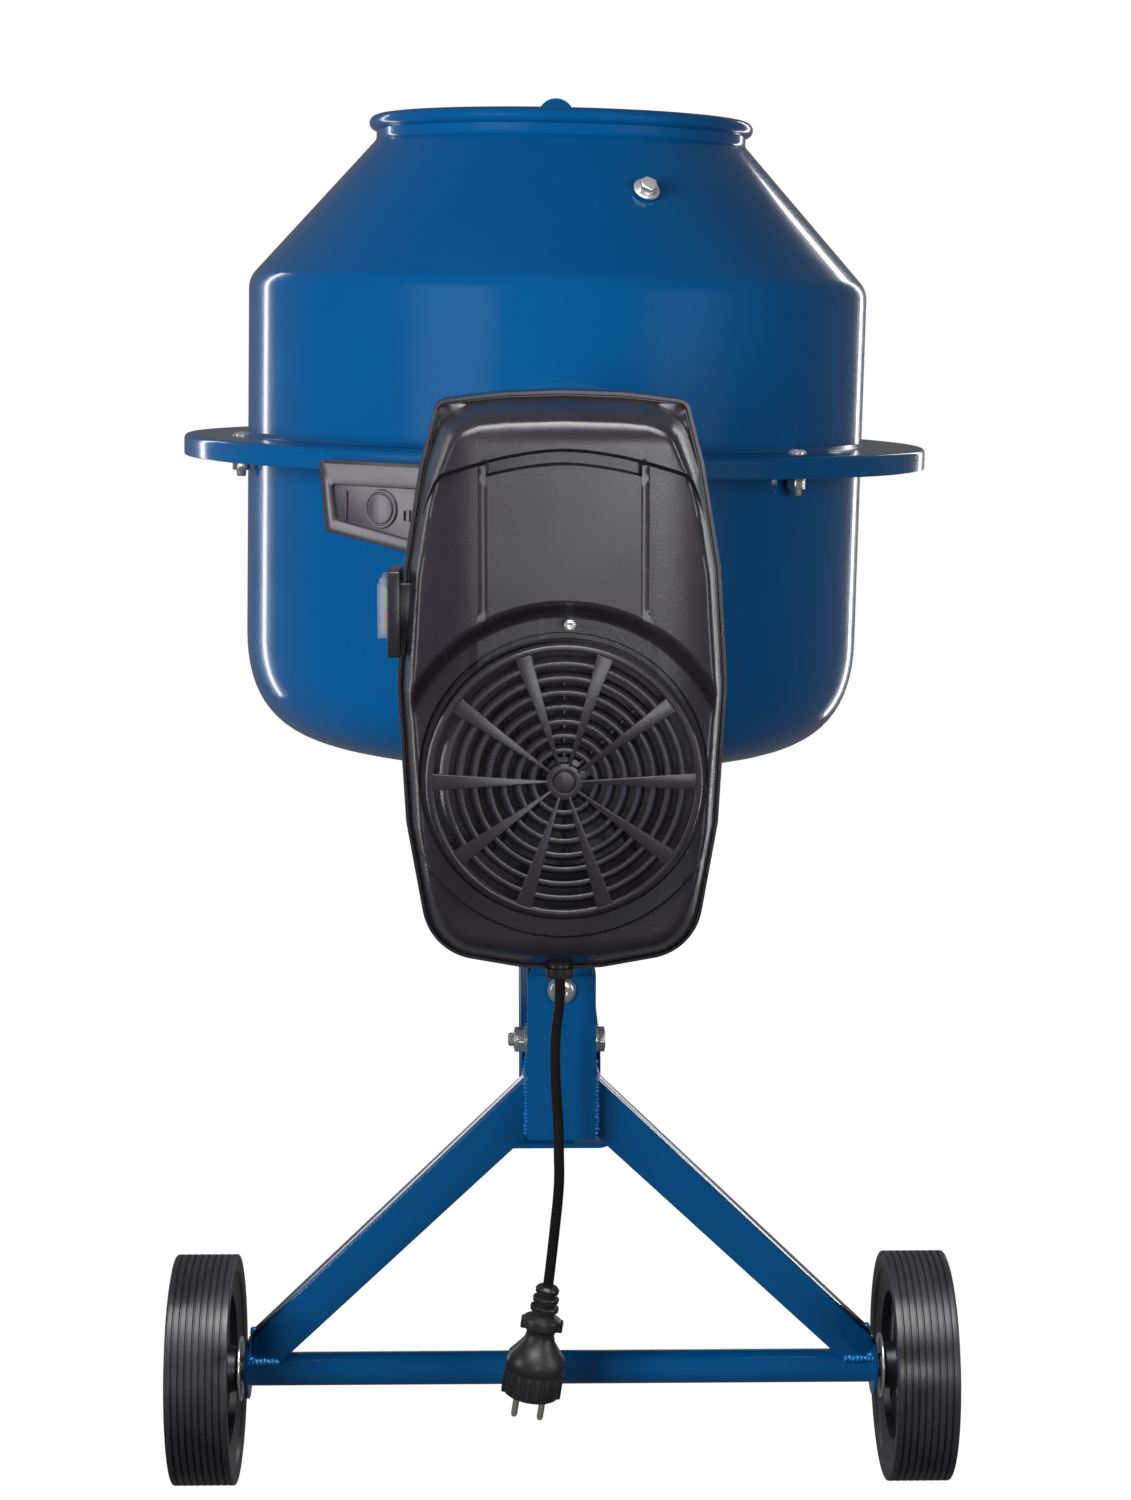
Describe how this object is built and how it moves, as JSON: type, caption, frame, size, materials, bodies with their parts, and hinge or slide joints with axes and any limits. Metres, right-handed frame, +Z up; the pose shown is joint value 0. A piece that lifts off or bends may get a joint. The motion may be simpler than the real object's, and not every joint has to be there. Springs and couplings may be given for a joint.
{
  "type": "concrete mixer",
  "caption": "Electric tilting-drum concrete mixer: blue steel drum with a gear ring, black motor housing, two-wheeled stand with a rear foot.",
  "frame": {"origin": "middle of the footprint on the floor, without the power cord", "axes": "+Z up, -Y towards the motor side, +X across the wheels"},
  "size_m": [0.622, 1.07, 1.0729],
  "materials": {
    "blue_paint": "gloss powder coat",
    "black_plastic": "fine grained, satin",
    "zinc": "bright zinc plate",
    "steel": "turned steel",
    "cast_iron": "as cast",
    "aluminium": "die cast",
    "rubber": "matt",
    "tyre": "ribbed solid tyre",
    "brass": "nickel-plated pins",
    "clear": "clear plastic",
    "green": "gloss",
    "red": "gloss",
    "cream": "gloss"
  },
  "bodies": {
    "frame": {"axle_tube": "blue_paint", "axle_rod": "steel", "axle_washers": "zinc", "left_strut": "blue_paint", "right_strut": "blue_paint", "front_post": "blue_paint", "upright_tube": "blue_paint", "near_bearing": "blue_paint", "cross_beam": "blue_paint", "far_leg": "blue_paint", "foot_plate": "blue_paint", "far_bearing": "blue_paint", "lock_plate": "blue_paint", "post_bolts": "zinc", "motor_plate": "steel", "motor_case": "aluminium", "run_capacitor": "cream", "rear_tray": "black_plastic", "front_cover": "black_plastic", "fan_grille": "black_plastic", "cover_screws": "zinc", "switch_plate": "black_plastic", "switch_body": "black_plastic", "drive_belt": "rubber", "cable_gland": "rubber", "power_cord": "rubber", "plug_body": "rubber", "plug_pins": "brass"},
    "yoke": {"yoke_frame": "blue_paint", "near_trunnion": "steel", "far_trunnion": "steel", "drum_spindle": "steel", "tilt_lever": "blue_paint", "gear_guard": "black_plastic", "pin_guide": "blue_paint"},
    "lock_pin": {"lock_pin": "zinc"},
    "drive": {"drive_shaft": "steel", "pinion": "steel", "drive_pulley": "aluminium"},
    "rotor": {"motor_shaft": "steel", "motor_pulley": "aluminium", "cooling_fan": "black_plastic"},
    "drum": {"drum_pan": "blue_paint", "drum_cone": "blue_paint", "gear_segments": "cast_iron", "gear_cover": "blue_paint", "left_blade": "blue_paint", "right_blade": "blue_paint", "blade_bolts": "zinc", "ring_bolts": "zinc", "drum_hub": "steel", "hub_bolts": "zinc"},
    "wheel_left": {"left_wheel": "black_plastic", "left_tyre": "tyre"},
    "wheel_right": {"right_wheel": "black_plastic", "right_tyre": "tyre"},
    "flap": {"switch_flap": "clear"},
    "start_button": {"on_button": "green"},
    "stop_button": {"off_button": "red"}
  },
  "joints": [
    {"name": "drum_tilt", "type": "hinge", "parent": "frame", "child": "yoke", "pos_m": [0, -0.024, 0.719], "axis": [0, 1, 0], "range_deg": [-120, 120]},
    {"name": "drum_spin", "type": "hinge", "parent": "yoke", "child": "drum", "pos_m": [0, -0.024, 0.719], "axis": [0.0209, 0, 0.9998], "continuous": true},
    {"name": "pinion_spin", "type": "hinge", "parent": "yoke", "child": "drive", "pos_m": [0, -0.314, 0.719], "axis": [0, 1, 0], "continuous": true},
    {"name": "motor_spin", "type": "hinge", "parent": "frame", "child": "rotor", "pos_m": [0, -0.474, 0.552], "axis": [0, 1, 0], "continuous": true},
    {"name": "lock_slide", "type": "slide", "parent": "yoke", "child": "lock_pin", "axis": [0, 1, 0], "range_m": [0, 0.006], "stiffness_N_per_m": 400},
    {"name": "left_roll", "type": "hinge", "parent": "frame", "child": "wheel_left", "pos_m": [-0.266, -0.399, 0.085], "axis": [1, 0, 0], "continuous": true},
    {"name": "right_roll", "type": "hinge", "parent": "frame", "child": "wheel_right", "pos_m": [0.266, -0.399, 0.085], "axis": [1, 0, 0], "continuous": true},
    {"name": "flap_hinge", "type": "hinge", "parent": "frame", "child": "flap", "pos_m": [-0.125, -0.459, 0.685], "axis": [0, 1, 0], "range_deg": [0, 110]},
    {"name": "start_press", "type": "slide", "parent": "frame", "child": "start_button", "axis": [1, 0, 0], "range_m": [0, 0.002], "stiffness_N_per_m": 500},
    {"name": "stop_press", "type": "slide", "parent": "frame", "child": "stop_button", "axis": [1, 0, 0], "range_m": [0, 0.002], "stiffness_N_per_m": 500}
  ],
  "couplings": [
    {"joint": "pinion_spin", "follows": "drum_spin", "ratio": 9.6667},
    {"joint": "motor_spin", "follows": "drum_spin", "ratio": 77.333}
  ]
}
